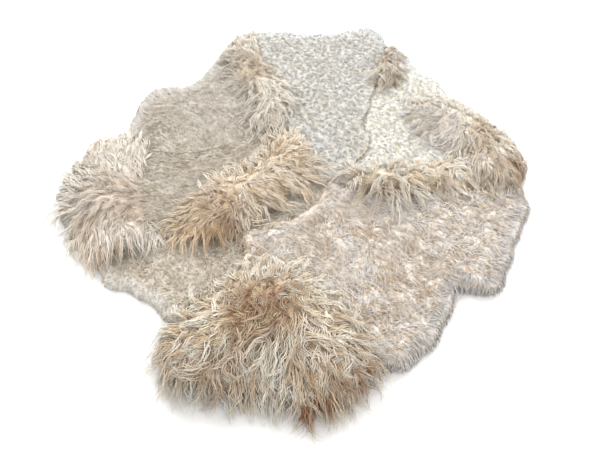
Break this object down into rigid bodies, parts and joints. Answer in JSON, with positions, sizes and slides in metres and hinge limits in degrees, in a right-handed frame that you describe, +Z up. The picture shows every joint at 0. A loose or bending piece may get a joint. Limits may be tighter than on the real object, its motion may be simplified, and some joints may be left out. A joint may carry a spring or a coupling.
{
  "type": "patchwork sheepskin rug",
  "caption": "Large free-form floor rug of whole sheepskins sewn edge to edge, shorn short in most places, with long shaggy tufts left at some edges and seams.",
  "frame": {"origin": "middle of the rug's box in plan, on the underside", "axes": "+X to the right and +Y away from the viewer of the picture, +Z up out of the wool"},
  "size_m": [2.0512, 2.102, 0.1355],
  "materials": {
    "white_wool": "undyed white wool in tight crisp curls, shorn about 45 mm high, on tanned leather",
    "cream_wool": "undyed cream wool in tight curls, shorn about 30 mm high, on tanned leather",
    "ivory_wool": "undyed ivory wool, loose and wavy, combed out at the rim, on tanned leather",
    "golden_wool": "undyed unshorn wool in long wavy locks, honey cream at the tips and brown in the depths, on tanned leather",
    "beige_wool": "undyed beige wool with fine curls and long tan tufts, on tanned leather",
    "grey_wool": "undyed grey-beige wool in soft curls with one long tuft, on tanned leather",
    "hide": "tanned suede side of the hides, which lies on the floor"
  },
  "bodies": {
    "root": {"skin_top": "white_wool", "skin_upper_right": "cream_wool", "skin_lower_right": "ivory_wool", "skin_bottom": "golden_wool", "skin_lower_left": "cream_wool", "skin_left": "beige_wool", "skin_upper_left": "grey_wool"}
  },
  "joints": []
}
